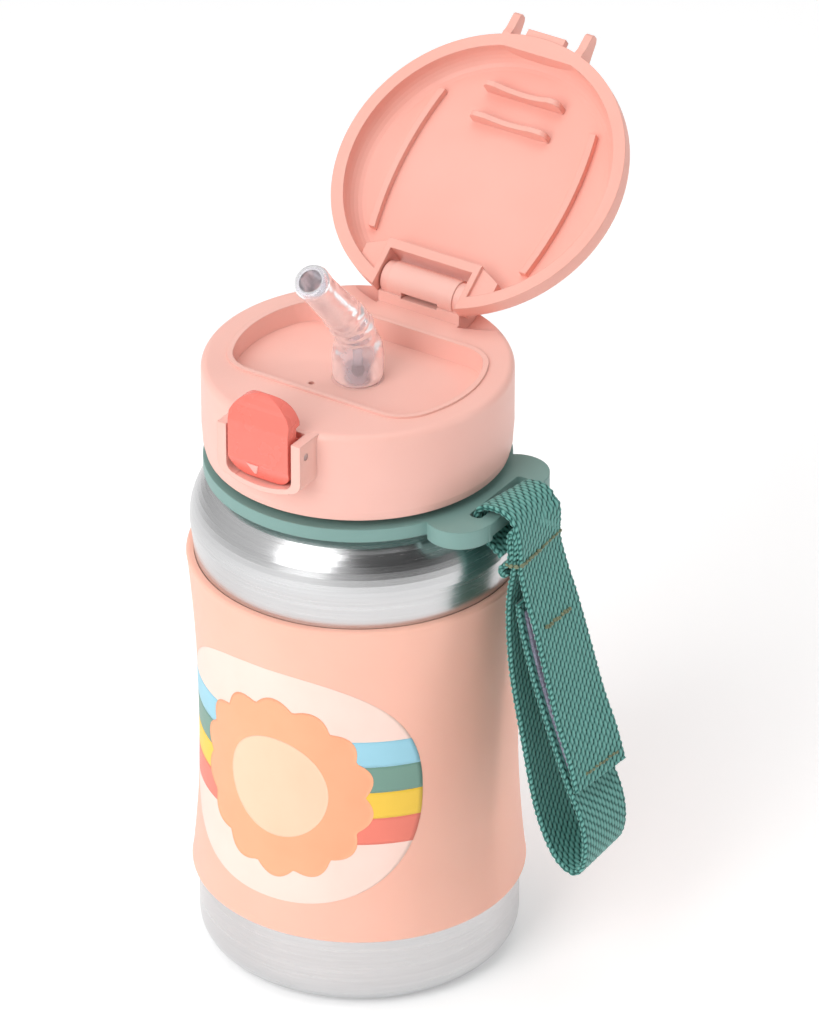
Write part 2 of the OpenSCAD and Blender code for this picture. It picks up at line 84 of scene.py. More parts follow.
back = direction(AZIMUTH, ELEVATION)
right = Vector((math.cos(AZIMUTH), math.sin(AZIMUTH), 0))
up = back.cross(right)
camera_data = bpy.data.cameras.new("camera")
camera_data.sensor_fit = "VERTICAL"
camera_data.sensor_height = SENSOR
camera_data.lens = LENS
camera_data.clip_end = 50
camera = bpy.data.objects.new("camera", camera_data)
bpy.context.scene.collection.objects.link(camera)
camera.location = Vector((0, 0, AIM_Z)) + back * DISTANCE + right * SIDE_STEP + up * RISE
camera.rotation_euler = back.to_track_quat("Z", "Y").to_euler()
bpy.context.scene.camera = camera


# ---------------------------------------------------------------- material helpers
def rgb(r, g, b, a=1.0):
    """A display colour, 0 to 255, as a linear one."""
    lin = lambda c: c / 12.92 if c <= 0.04045 else ((c + 0.055) / 1.055) ** 2.4
    return (lin(r / 255), lin(g / 255), lin(b / 255), a)


class Mat:
    """A node material around one Principled shader."""

    def __init__(self, name, **inputs):
        self.m = bpy.data.materials.new(name)
        self.m.use_nodes = True
        self.t = self.m.node_tree
        self.bsdf = self.t.nodes["Principled BSDF"]
        for k, v in inputs.items():
            self.bsdf.inputs[k.replace("_", " ")].default_value = v
        self.normal = None

    def node(self, kind, links=None, **props):
        n = self.t.nodes.new(kind)
        for k, v in props.items():
            setattr(n, k, v)
        for k, v in (links or {}).items():
            self.put(n.inputs[k], v)
        return n

    def put(self, socket, v):
        if isinstance(v, bpy.types.NodeSocket):
            self.t.links.new(v, socket)
        else:
            socket.default_value = v

    def coords(self, scale=(1, 1, 1)):
        tc = self.node("ShaderNodeTexCoord")
        mp = self.node("ShaderNodeMapping", {"Vector": tc.outputs["Object"], "Scale": scale})
        return mp.outputs[0]

    def noise(self, scale, detail=3.0, rough=0.5, stretch=(1, 1, 1)):
        n = self.node("ShaderNodeTexNoise", {"Vector": self.coords(stretch), "Scale": scale,
                                             "Detail": detail, "Roughness": rough})
        return n.outputs["Fac"]

    def ramp(self, fac, *stops):
        n = self.node("ShaderNodeValToRGB", {"Fac": fac})
        e = n.color_ramp.elements
        while len(e) < len(stops):
            e.new(0.5)
        for x, (p, c) in zip(e, stops):
            x.position, x.color = p, c
        return n.outputs["Color"]

    def span(self, fac, low, high):
        n = self.node("ShaderNodeMapRange", {"Value": fac, "To Min": low, "To Max": high})
        return n.outputs["Result"]

    def math(self, op, a, b=0.0):
        n = self.node("ShaderNodeMath", {0: a, 1: b}, operation=op)
        return n.outputs[0]

    def bump(self, height, strength, distance):
        links = {"Height": height, "Strength": strength, "Distance": distance}
        if self.normal is not None:
            links["Normal"] = self.normal
        self.normal = self.node("ShaderNodeBump", links).outputs[0]

    def soften(self, radius):
        """Rounds sharp edges in the shading only."""
        n = self.node("ShaderNodeBevel", {"Radius": radius}, samples=4)
        self.normal = n.outputs[0]

    def set(self, name, v):
        self.put(self.bsdf.inputs[name], v)

    def done(self):
        if self.normal is not None:
            self.set("Normal", self.normal)
        return self.m


def plastic(name, base, deep, rough, edge=0.35 * MM, sheen=0.0, grain=0.018 * MM):
    """Satin moulded plastic: a slow drift in its colour, fine spark-eroded grain and soft edges."""
    m = Mat(name, Subsurface_Weight=0.06, Subsurface_Scale=2.5 * MM, Specular_IOR_Level=0.42,
            Sheen_Weight=sheen)
    m.bsdf.inputs["Subsurface Radius"].default_value = (1.0, 0.5, 0.4)
    m.soften(edge)
    m.set("Base Color", m.ramp(m.noise(28, 3), (0.3, deep), (0.7, base)))
    m.set("Roughness", m.span(m.noise(190, 4), rough - 0.05, rough + 0.06))
    m.bump(m.noise(5200, 2, 0.6), 0.35, grain)
    m.bump(m.noise(160, 2), 0.10, 0.05 * MM)
    return m.done()


def brushed_steel():
    """Stainless steel brushed around its axis."""
    m = Mat("brushed_steel", Metallic=1.0, Anisotropic=0.5, Anisotropic_Rotation=0.25)
    lines = m.noise(1.0, 2, 0.6, (160, 160, 14000))
    wide = m.noise(1.0, 1, 0.5, (18, 18, 1500))
    both = m.math("MULTIPLY", m.math("ADD", lines, wide), 0.5)
    m.set("Base Color", m.ramp(both, (0.30, rgb(199, 199, 200)), (0.70, rgb(212, 212, 213))))
    m.set("Roughness", m.span(both, 0.22, 0.31))
    m.bump(lines, 0.10, 0.01 * MM)
    tangent = m.node("ShaderNodeTangent", direction_type="RADIAL", axis="Z")
    m.set("Tangent", tangent.outputs[0])
    return m.done()


def small_steel():
    m = Mat("small_steel", Metallic=1.0)
    m.set("Base Color", m.ramp(m.noise(300, 3), (0.3, rgb(150, 150, 154)), (0.7, rgb(196, 196, 200))))
    m.set("Roughness", m.span(m.noise(900, 2), 0.2, 0.34))
    m.bump(m.noise(4000, 2), 0.2, 0.01 * MM)
    return m.done()


def soft_skin():
    """Soft-touch sleeve: nearly matt, with a faint even grain."""
    m = Mat("soft_sleeve", Subsurface_Weight=0.05, Subsurface_Scale=2 * MM, Specular_IOR_Level=0.36,
            Sheen_Weight=0.08, Sheen_Roughness=0.5)
    m.soften(0.4 * MM)
    m.set("Base Color", m.ramp(m.noise(22, 3), (0.3, rgb(251, 187, 166)), (0.7, rgb(253, 194, 174))))
    m.set("Roughness", m.span(m.noise(420, 3), 0.46, 0.58))
    m.bump(m.noise(3000, 3, 0.6), 0.30, 0.03 * MM)
    m.bump(m.noise(70, 2), 0.08, 0.15 * MM)
    return m.done()


def ink(name, colour, darker):
    """Flat print on the sleeve, with a trace of mottle."""
    m = Mat(name, Specular_IOR_Level=0.36)
    m.set("Base Color", m.ramp(m.noise(90, 4), (0.25, darker), (0.75, colour)))
    m.set("Roughness", m.span(m.noise(420, 3), 0.40, 0.52))
    m.bump(m.noise(3000, 3, 0.6), 0.25, 0.02 * MM)
    return m.done()


def silicone(name, tint, trans, rough):
    """Clear soft silicone with flow marks in it."""
    m = Mat(name, IOR=1.41, Transmission_Weight=trans, Specular_IOR_Level=0.5)
    m.set("Base Color", m.ramp(m.noise(240, 4, 0.6), (0.35, tint), (0.65, rgb(246, 246, 250))))
    m.set("Roughness", m.span(m.noise(500, 3), rough, rough + 0.12))
    m.bump(m.noise(330, 3, 0.6), 0.5, 0.45 * MM)
    m.bump(m.noise(1800, 2), 0.2, 0.05 * MM)
    return m.done()


def webbing_cloth():
    """Woven polyester: the weave's own height sets painted shade in the gaps and a painted highlight on the
    crowns, and fine fibres run over it.
    """
    m = Mat("webbing", Sheen_Weight=0.25, Sheen_Roughness=0.4, Specular_IOR_Level=0.35)
    height = m.node("ShaderNodeAttribute", attribute_name="weave").outputs["Fac"]
    tone = m.noise(900, 3)
    mixed = m.math("ADD", height, m.math("MULTIPLY", m.math("SUBTRACT", tone, 0.5), 0.35))
    # Painted shade in the gaps between the cells and a painted highlight on their crowns, both from the
    # weave's height
    painted_gap_shade, yarn, painted_crown_highlight = rgb(12, 38, 36), rgb(46, 104, 97), rgb(112, 174, 165)
    m.set("Base Color", m.ramp(mixed, (0.08, painted_gap_shade), (0.45, yarn), (0.95, painted_crown_highlight)))
    m.set("Roughness", m.span(tone, 0.62, 0.82))
    m.bump(m.noise(6500, 2, 0.7), 0.5, 0.05 * MM)
    return m.done()


def thread():
    m = Mat("stitch_thread", Sheen_Weight=0.2)
    m.set("Base Color", m.ramp(m.noise(1500, 3), (0.3, rgb(84, 96, 70)), (0.7, rgb(140, 146, 112))))
    m.set("Roughness", m.span(m.noise(2500, 2), 0.5, 0.75))
    m.bump(m.noise(7000, 2), 0.6, 0.06 * MM)
    return m.done()


def fuzz():
    """Short grey-lilac pile."""
    m = Mat("fuzzy_strip", Sheen_Weight=0.6, Sheen_Roughness=0.6)
    m.set("Base Color", m.ramp(m.noise(1300, 4, 0.7), (0.35, rgb(96, 92, 118)), (0.62, rgb(178, 174, 198))))
    m.set("Roughness", m.span(m.noise(2500, 2), 0.85, 0.98))
    m.bump(m.noise(2600, 4, 0.8), 0.9, 0.3 * MM)
    return m.done()


# Painted shade: a dark maroon look for the straw's shaded bore
def painted_bore_shade_material():
    m = Mat("straw_bore")
    m.set("Base Color", m.ramp(m.noise(600, 2), (0.3, rgb(96, 36, 48)), (0.7, rgb(112, 48, 60))))
    m.set("Roughness", m.span(m.noise(900, 2), 0.4, 0.6))
    return m.done()


peach = plastic("lid_peach", rgb(244, 192, 180), rgb(242, 186, 173), 0.40)
# The cover's peach is the lid's made darker and pinker: painted shade and painted coral interreflection
# inside the open cover
cover_painted_shade = plastic("cover_painted_shade", rgb(242, 180, 166), rgb(240, 173, 158), 0.42)
coral = plastic("button_coral", rgb(243, 126, 113), rgb(240, 118, 104), 0.26, 0.3 * MM)
cream = plastic("insert_cream", rgb(250, 232, 222), rgb(244, 222, 210), 0.45)
sage = plastic("ring_sage", rgb(128, 164, 158), rgb(119, 155, 149), 0.48, 0.5 * MM, 0.05, 0.03 * MM)
straw = plastic("straw_white", rgb(246, 242, 240), rgb(238, 232, 230), 0.35)
steel = brushed_steel()
wire = small_steel()
skin = soft_skin()
clear = silicone("clear_silicone", rgb(240, 236, 242), 0.74, 0.03)
milky = silicone("seal_silicone", rgb(236, 234, 236), 0.4, 0.3)
web = webbing_cloth()
stitch = thread()
pile = fuzz()
painted_bore_shade = painted_bore_shade_material()
foot = plastic("spout_foot", rgb(240, 196, 188), rgb(236, 188, 180), 0.35)

for name, material in {
    "outer_shell": steel, "base_cap": steel, "inner_liner": steel, "sleeve": skin, "lid_base": peach,
    "lid_insert": cream, "lid_seal": milky, "flip_cover": cover_painted_shade, "hinge_pin": wire,
    "hinge_spring": wire, "lock_button": coral, "button_pin": wire, "button_spring": wire,
    "straw_tube": straw, "vent_valve": milky,
    "strap_ring": sage, "spout_stem": clear, "spout_tip": clear, "strap_wrap": web, "strap_loop": web,
    "pile_strip": pile, "strap_tab": web, "hook_strip": pile,
}.items():
    slots = nodes[name].data.materials
    if not len(slots):
        slots.append(material)
    for i in range(len(slots)):
        slots[i] = material


# ---------------------------------------------------------------- mesh helpers
def mesh_object(name, verts, faces, material, smooth=True, attribute=None):
    me = bpy.data.meshes.new(name)
    me.from_pydata([tuple(v) for v in verts], [], [tuple(f) for f in faces])
    if attribute is not None:
        weave = me.attributes.new("weave", "FLOAT", "POINT")
        weave.data.foreach_set("value", np.asarray(attribute, np.float32))
    me.materials.append(material)
    me.polygons.foreach_set("use_smooth", [smooth] * len(me.polygons))
    me.update()
    o = bpy.data.objects.new(name, me)
    bpy.context.scene.collection.objects.link(o)
    return o


def grid_faces(rows, cols, closed_rows=False, closed_cols=False):
    out = []
    for i in range(rows if closed_rows else rows - 1):
        a, b = i * cols, ((i + 1) % rows) * cols
        for j in range(cols if closed_cols else cols - 1):
            k = (j + 1) % cols
            out.append((a + j, a + k, b + k, b + j))
    return out


def spline(points, step):
    """Points a step apart along a smooth line through the given ones."""
    p = np.asarray(points, float)
    dense = []
    for i in range(len(p) - 1):
        a, b, c, d = p[max(i - 1, 0)], p[i], p[i + 1], p[min(i + 2, len(p) - 1)]
        t = np.linspace(0, 1, 40, endpoint=False)[:, None]
        dense.append(0.5 * (2 * b + (c - a) * t + (2 * a - 5 * b + 4 * c - d) * t ** 2
                            + (3 * b - a - 3 * c + d) * t ** 3))
    dense = np.vstack(dense + [p[-1:]])
    s = np.concatenate([[0], np.cumsum(np.linalg.norm(np.diff(dense, axis=0), axis=1))])
    n = max(2, int(round(s[-1] / step)) + 1)
    at = np.linspace(0, s[-1], n)
    return np.stack([np.interp(at, s, dense[:, k]) for k in range(dense.shape[1])], 1), at


def tube(name, points, radii, sides, material):
    """A tube along 3-D points with a radius at each."""
    p = np.asarray(points, float)
    t = np.gradient(p, axis=0)
    t /= np.linalg.norm(t, axis=1)[:, None]
    ref = np.array([1.0, 0.0, 0.0]) if abs(t[0][0]) < 0.9 else np.array([0, 1.0, 0])
    verts = []
    for c, d, r in zip(p, t, radii):
        u = ref - d * (ref @ d)
        u /= np.linalg.norm(u)
        ref = u
        w = np.cross(d, u)
        a = np.arange(sides) * 2 * np.pi / sides
        verts.append(c + r * (np.cos(a)[:, None] * u + np.sin(a)[:, None] * w))
    verts = np.vstack(verts)
    faces = grid_faces(len(p), sides, closed_cols=True)
    faces += [tuple(range(sides - 1, -1, -1)), tuple(range((len(p) - 1) * sides, len(p) * sides))]
    return mesh_object(name, verts, faces, material)


# ---------------------------------------------------------------- spout
LEAN = math.radians(46)
BASE_Z = 156.75            # the barrel stands on the deck's floor here
BEND_LOW = 163.4
BEND_R = 17.0
TIP = (-20.6, 192.9)


def spout_line(step):
    """Middle line of the soft spout as [y, z]: up from the floor, round the bend and out to the tip."""
    pts = [(0.0, z) for z in np.arange(BASE_Z, BEND_LOW, step)]
    arc_n = max(4, int(BEND_R * LEAN / step))
    for i in range(arc_n + 1):
        a = LEAN * i / arc_n
        pts.append((-BEND_R * (1 - math.cos(a)), BEND_LOW + BEND_R * math.sin(a)))
    end = np.array(pts[-1])
    way = np.array(TIP) - end
    run = np.linalg.norm(way)
    for i in range(1, int(run / step) + 1):
        pts.append(tuple(end + way * min(1, i * step / run)))
    return np.array(pts)


def spout():
    line = spout_line(0.45)
    s = np.concatenate([[0], np.cumsum(np.linalg.norm(np.diff(line, axis=0), axis=1))])
    long = s[-1]
    way = np.gradient(line, axis=0)
    way /= np.linalg.norm(way, axis=1)[:, None]
    outer = np.interp(s, [0, 0.5, 1.6, 6.5, 8.8, 10.6, 12.2, 17, 22, 27,
                          long - 5.5, long - 3.6, long - 1.3, long - 0.4, long],
                      [5.8, 6.1, 6.25, 6.4, 6.1, 5.5, 5.15, 5.0, 4.8, 4.5, 4.3, 4.45, 4.6, 4.3, 3.5])
    inner = np.interp(s, [0, 1.2, 8.5, 10.2, 12.0, 15, long - 3, long - 0.6, long],
                      [2.9, 3.2, 3.3, 3.1, 2.3, 2.0, 1.95, 2.05, 2.5])
    sides = 64
    verts, loops = [], list(zip(range(len(line)), outer)) + list(zip(range(len(line) - 1, -1, -1), inner))
    for i, r in loops:
        y, z = line[i]
        ty, tz = way[i]
        for k in range(sides):
            a = 2 * math.pi * k / sides
            # Folds of the soft wall, strongest at the bend
            fold = math.exp(-((s[i] - 18.5) / 6.5) ** 2)
            rr = (r + 0.20 * fold * math.sin(3 * a + 1.1 * s[i]) + 0.17 * fold * math.sin(2.1 * s[i] - 2 * a)
                  + 0.10 * fold * math.sin(5 * a - 1.6 * s[i]))
            px, pn = rr * math.cos(a), rr * math.sin(a)
            verts.append((px * MM, (y - pn * tz) * MM, (z + pn * ty) * MM))
    faces = grid_faces(len(loops), sides, closed_rows=True, closed_cols=True)
    o = mesh_object("soft_spout", verts, faces, clear)
    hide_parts("spout_stem", "spout_tip")
    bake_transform(o)


spout()

# The flange that holds the spout under the floor, and the socket for the straw
flange = tube("spout_flange", [(0, 0, z * MM) for z in (147.6, 147.7, 152.4, 152.6, 154.0, 154.4, 154.5)],
              [r * MM for r in (5.4, 5.6, 5.7, 8.6, 8.9, 8.9, 8.6)], 64, clear)
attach(flange, "lid")
# The second disc is painted shade, a dark disc where the straw's bore lies in shade under the spout
DISCS = [("spout_foot", 155.6, 156.62, 6.25, foot), ("straw_bore_shade", 156.62, 156.74, 2.75, painted_bore_shade)]
for name, z0, z1, radius, look in DISCS:
    levels = [(0, 0, z * MM) for z in (z0, z0 + 0.02, z1 - 0.02, z1)]
    disc = tube(name, levels, [radius * MM * k for k in (0.99, 1, 1, 0.99)], 64, look)
    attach(disc, "lid")


# ---------------------------------------------------------------- print on the sleeve
def sleeve_profile():
    """Heights and radii of the sleeve's outer face, from rays cast at it."""
    low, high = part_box("sleeve")
    me = nodes["sleeve"].data
    tree = BVHTree.FromPolygons([v.co for v in me.vertices], [p.vertices for p in me.polygons])
    zs = np.linspace(low.z + 2 * MM, high.z - 2 * MM, 90)
    rs = []
    for z in zs:
        hits = []
        for a in (0.0, 0.35, 0.7, -0.5):
            outside = Vector((math.sin(a), -math.cos(a), z))
            inward = Vector((-math.sin(a), math.cos(a), 0))
            hits.append(tree.ray_cast(outside, inward)[0])
        rs.append(max(math.hypot(h.x, h.y) for h in hits if h))
    return zs, np.array(rs)


PROFILE = sleeve_profile()
PRINT_Z = 62.0
PRINT_HALF_W = 39.0
PRINT_HALF_H = 32.8
PRINT_R = 39.6
SUN_ARC = 1.5
SUN_Z = 61.0


def on_sleeve(arc_mm, z_mm, lift):
    """A point on the sleeve: arc_mm round from -Y towards +X, at that height, lifted off it."""
    r = float(np.interp(z_mm * MM, *PROFILE)) + lift
    a = arc_mm / PRINT_R
    return (r * math.sin(a), -r * math.cos(a), z_mm * MM)


def patch(name, outline_rows, lift, material):
    """A closed thin patch from rows of (arc, z) points that all have the same number of points."""
    rows, cols = len(outline_rows), len(outline_rows[0])
    top = [on_sleeve(a, z, lift) for row in outline_rows for a, z in row]
    low = [on_sleeve(a, z, 0.02 * MM) for row in outline_rows for a, z in row]
    n = rows * cols
    faces = grid_faces(rows, cols)
    faces += [tuple(n + i for i in reversed(f)) for f in grid_faces(rows, cols)]
    rim = [j for j in range(cols)] + [(i + 1) * cols - 1 for i in range(1, rows)]
    rim += [n - 1 - j for j in range(1, cols)] + [i * cols for i in range(rows - 2, 0, -1)]
    for a, b in zip(rim, rim[1:] + rim[:1]):
        faces.append((b, a, n + a, n + b))
    o = mesh_object(name, top + low, faces, material)
    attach(o, "bottle")


def medallion_half(z):
    q = min(1.0, abs(z - PRINT_Z) / PRINT_HALF_H)
    return PRINT_HALF_W * (1 - q ** 2.3) ** (1 / 2.3)


def medallion_row(z):
    """Points right across the medallion at one height."""
    w = max(0.05, medallion_half(z))
    return [(-w + 2 * w * j / 60, z) for j in range(61)]


def band_rows(z0, z1, n):
    return [medallion_row(z0 + (z1 - z0) * i / n) for i in range(n + 1)]


angles = np.linspace(-1, 1, 81)
heights = PRINT_Z + PRINT_HALF_H * np.sin(angles * math.pi / 2)
cream_ink = ink("ink_cream", rgb(254, 222, 210), rgb(253, 217, 204))
patch("print_medallion", [medallion_row(z) for z in heights], 0.07 * MM, cream_ink)

STRIPE_Z = [47.6, 55.0, 62.4, 69.8, 77.2]
STRIPES = [("coral", (247, 134, 116)), ("yellow", (252, 208, 76)),
           ("sage", (122, 160, 146)), ("blue", (160, 214, 232))]
for (label, c), z0, z1 in zip(STRIPES, STRIPE_Z, STRIPE_Z[1:]):
    dark = tuple(v * 0.97 for v in c)
    patch("print_stripe_" + label, band_rows(z0, z1, 8), 0.11 * MM, ink("ink_" + label, rgb(*c), rgb(*dark)))


def sun_rows(radius, scallops, depth, rings=24, sides=176):
    rows = []
    for i in range(rings + 1):
        f = max(0.002, i / rings)
        row = []
        for k in range(sides + 1):
            a = 2 * math.pi * k / sides
            r = radius * f * (1 + depth * f * (abs(math.sin(a * scallops / 2)) - 0.6))
            row.append((SUN_ARC + r * math.cos(a), SUN_Z + r * math.sin(a)))
        rows.append(row)
    return rows


def sun(name, radius, scallops, depth, lift, material):
    """A closed round patch with a scalloped edge."""
    rows = sun_rows(radius, scallops, depth)
    cols = len(rows[0]) - 1
    flat = [row[:-1] for row in rows]
    top = [on_sleeve(a, z, lift) for row in flat for a, z in row]
    low = [on_sleeve(a, z, 0.02 * MM) for row in flat for a, z in row]
    n = len(top)
    face = grid_faces(len(flat), cols, closed_cols=True) + [tuple(range(cols - 1, -1, -1))]
    faces = [tuple(reversed(f)) for f in face] + [tuple(n + i for i in f) for f in face]
    last = (len(flat) - 1) * cols
    for k in range(cols):
        a, b = last + k, last + (k + 1) % cols
        faces.append((a, b, n + b, n + a))
    o = mesh_object(name, top + low, faces, material)
    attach(o, "bottle")


sun("print_sun", 24.6, 14, 0.10, 0.16 * MM, ink("ink_orange", rgb(250, 178, 138), rgb(248, 172, 132)))
sun("print_sun_middle", 14.0, 1, 0.0, 0.20 * MM, ink("ink_peach", rgb(253, 208, 178), rgb(252, 203, 172)))

# ---------------------------------------------------------------- webbing
WEB_W = 20.0
WEB_T = 1.3
WEB_STEP = 0.3
CELL_W = 1.3
CELL_L = 2.2
WEAVE_H = 0.30
STRAP_Y = 0.3


def cell_height(u, v):
    """Height of the woven cells, 0 to 1, at u mm across and v mm along."""
    col = np.floor(u / CELL_W)
    fx = u / CELL_W - col - 0.5
    ph = v / CELL_L + 0.5 * (col % 2) + 0.30 * fx
    fy = ph - np.round(ph)
    return np.sqrt(np.clip(1 - (2 * np.abs(fx)) ** 2.2 * 0.92 - (2 * np.abs(fy)) ** 3 * 0.8, 0, 1))


def braid_height(side, v):
    """Height of the two strands along an edge; side is -1 to 1 through the thickness."""
    ph = v / 1.45 + 0.5 * (side > 0) + 0.35 * side
    return np.abs(np.cos(math.pi * ph)) ** 0.7 * np.clip(np.abs(side) * 3.2, 0, 1)


def webbing(name, route, twist):
    """A band of webbing along [x, z] points, with its weave and braided edges in the mesh.

    twist is (start, end) in degrees.
    """
    line, at = spline(route, WEB_STEP)
    way = np.gradient(line, axis=0)
    way /= np.linalg.norm(way, axis=1)[:, None]
    out = np.stack([-way[:, 1], way[:, 0]], 1)
    half_t = WEB_T / 2
    flat = WEB_W / 2 - half_t
    n_face, n_edge = 58, 8
    u = np.linspace(-flat, flat, n_face)
    arc = np.linspace(-np.pi / 2, np.pi / 2, n_edge + 2)[1:-1]
    # One turn round the section: [across, through, outward across, outward through, kind]
    sec = [(x, half_t, 0, 1, 0) for x in u]
    sec += [(flat + half_t * math.cos(-a), half_t * math.sin(-a), math.cos(a), math.sin(-a), 1) for a in arc]
    sec += [(x, -half_t, 0, -1, 0) for x in u[::-1]]
    sec += [(-flat - half_t * math.cos(a), half_t * math.sin(a), -math.cos(a), math.sin(a), 1) for a in arc]
    sec = np.array(sec)
    ang = np.radians(np.linspace(twist[0], twist[1], len(line)))
    verts, heights = [], []
    for i, (p, o) in enumerate(zip(line, out)):
        v = at[i]
        face = sec[:, 4] == 0
        h = np.where(face, cell_height(sec[:, 0] + 40 * CELL_W, v + np.where(sec[:, 3] < 0, CELL_L / 2, 0)),
                     braid_height(sec[:, 1] / half_t, v))
        wave = 1 + 0.012 * np.cos(2 * math.pi * v / CELL_L)
        lift = (h - 0.55) * WEAVE_H
        across = sec[:, 0] * wave + sec[:, 2] * lift
        through = sec[:, 1] + sec[:, 3] * lift
        ca, sa = math.cos(ang[i]), math.sin(ang[i])
        y = across * ca
        n = through + across * sa
        verts.append(np.stack([p[0] + n * o[0], STRAP_Y + y, p[1] + n * o[1]], 1))
        heights.append(h)
    cols = len(sec)
    faces = grid_faces(len(line), cols, closed_cols=True)
    faces = [tuple(reversed(f)) for f in faces]
    faces += [tuple(range(cols)), tuple(range(len(line) * cols - 1, (len(line) - 1) * cols - 1, -1))]
    o = mesh_object(name, np.vstack(verts) * MM, faces, web, attribute=np.concatenate(heights))
    return o, line, out, at


TAB_ROUTE = [(48.0, 127.0), (44.8, 129.2), (41.8, 131.0), (40.9, 133.8), (41.6, 136.4), (43.9, 137.4),
             (47.0, 137.4), (49.6, 136.0), (51.0, 133.0), (51.7, 129.6), (51.9, 126.6), (52.2, 122.8),
             (54.2, 116.0), (56.6, 109.2), (59.8, 98.6), (64.0, 84.4), (67.4, 75.4), (69.9, 66.6)]
LOOP_ROUTE = [(48.9, 121.9), (48.3, 120.8), (47.0, 121.2), (46.9, 122.6), (48.1, 123.7), (49.4, 125.6),
              (49.3, 129.0), (49.2, 132.0), (50.2, 133.6), (51.1, 132.0), (51.2, 129.0), (51.0, 125.4),
              (50.7, 121.8), (49.9, 117.5), (49.5, 111.0), (49.9, 102.0), (50.9, 92.5), (54.0, 76.6),
              (57.9, 58.6), (62.2, 48.2), (66.4, 43.8), (69.8, 44.2), (71.4, 50.2), (70.3, 58.0),
              (66.2, 67.4), (62.4, 76.8), (56.7, 92.6), (53.3, 104.6), (51.9, 111.0), (51.6, 114.0)]

TAB_TWIST = (-8.0, 5.0)
LOOP_TWIST = (1.0, 3.0)
tab, tab_line, tab_out, tab_at = webbing("wrist_strap_tab", TAB_ROUTE, TAB_TWIST)
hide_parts("strap_wrap", "strap_tab")
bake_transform(tab)
loop, loop_line, loop_out, loop_at = webbing("wrist_strap_loop", LOOP_ROUTE, LOOP_TWIST)
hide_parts("strap_loop")
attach(loop, "strap")


PILE_SIDE = -1                  # the face of the webbing that carries the fuzzy strip
PILE_GAP = WEB_T / 2 + 0.05
PILE_THICK = 1.0
PILE_COLS = 34


def strip(name, line, out, z_hi, z_lo, width, bulge, seed):
    """A fuzzy strip on one face of the webbing, between two heights."""
    rng = np.random.default_rng(seed)
    keep = [i for i in range(len(line)) if z_lo <= line[i][1] <= z_hi]
    runs = np.split(keep, np.where(np.diff(keep) > 1)[0] + 1)
    keep = max(runs, key=lambda r: line[r][:, 0].mean())
    verts = []
    u = np.linspace(-width / 2, width / 2, PILE_COLS)
    for j, i in enumerate(keep):
        f = min(1.0, j / 8, (len(keep) - 1 - j) / 8) * 0.35 + 0.65
        t = PILE_THICK * f
        ys = np.concatenate([u, u[::-1]])
        ns = np.concatenate([np.full(PILE_COLS, PILE_GAP + t), np.full(PILE_COLS, PILE_GAP)])
        rough = np.concatenate([rng.normal(0, bulge, PILE_COLS), rng.normal(0, bulge * 0.2, PILE_COLS)])
        ns = ns + rough * np.cos(np.pi * ys / width * 0.9)
        ys = ys * (1 + 0.012 * rng.normal())
        ns = PILE_SIDE * ns
        verts.append(np.stack([line[i][0] + ns * out[i][0], STRAP_Y + ys, line[i][1] + ns * out[i][1]], 1))
    cols = 2 * PILE_COLS
    faces = grid_faces(len(keep), cols, closed_cols=True)
    faces += [tuple(range(cols - 1, -1, -1)), tuple(range((len(keep) - 1) * cols, len(keep) * cols))]
    return mesh_object(name, np.vstack(verts) * MM, faces, pile)


hook = strip("hook_strip_fuzz", tab_line, tab_out, 113.5, 71.5, 16.5, 0.07, 5)
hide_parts("hook_strip")
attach(hook, "tab")
soft = strip("pile_strip_fuzz", loop_line, loop_out, 111.5, 70.0, 16.0, 0.10, 6)
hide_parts("pile_strip")
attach(soft, "strap")


THREAD_SIDES = 10


def stitches(name, points, pitch, r, body):
    """A row of short thread stitches that dip at both ends, along 3-D points in mm."""
    line, at = spline(points, 0.12)
    n = max(1, int(at[-1] / pitch))
    verts, faces = [], []
    for k in range(n):
        keep = np.where((at >= k * pitch + 0.12) & (at <= (k + 1) * pitch - 0.08))[0]
        if len(keep) < 4:
            continue
        seg = line[keep]
        w = np.gradient(seg, axis=0)
        w /= np.linalg.norm(w, axis=1)[:, None]
        ref = np.array([0.35, 0.2, 0.9])
        base = len(verts)
        m = len(seg)
        for i in range(m):
            f = math.sin(math.pi * (i + 0.5) / m) ** 0.5
            a1 = np.cross(w[i], ref)
            a1 /= np.linalg.norm(a1)
            a2 = np.cross(w[i], a1)
            for q in range(THREAD_SIDES):
                a = 2 * math.pi * q / THREAD_SIDES
                verts.append((seg[i] + r * f * (math.cos(a) * a1 + math.sin(a) * a2)) * MM)
        faces += [tuple(base + x for x in f) for f in grid_faces(m, THREAD_SIDES, closed_cols=True)]
        last = base + (m - 1) * THREAD_SIDES
        faces.append(tuple(base + x for x in range(THREAD_SIDES - 1, -1, -1)))
        faces.append(tuple(last + x for x in range(THREAD_SIDES)))
    o = mesh_object(name, verts, faces, stitch)
    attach(o, body)


def tab_face(z, y, lift):
    """A point on the outer face of the strap's tab at a height and a place across."""
    outer = np.where((tab_line[:, 0] > 50) & (tab_line[:, 1] < 136))[0]
    i = outer[np.argmin(np.abs(tab_line[outer, 1] - z))]
    f = i / (len(tab_line) - 1)
    tw = math.sin(math.radians(TAB_TWIST[0] + (TAB_TWIST[1] - TAB_TWIST[0]) * f))
    n = WEB_T / 2 + lift + (y - STRAP_Y) * tw
    return (tab_line[i][0] + n * tab_out[i][0], y, tab_line[i][1] + n * tab_out[i][1])


def zigzag(points, swing):
    """The same line with its points moved up and down in turn, as a bar tack."""
    return [(x, y, z + (swing if i % 2 else -swing)) for i, (x, y, z) in enumerate(points)]


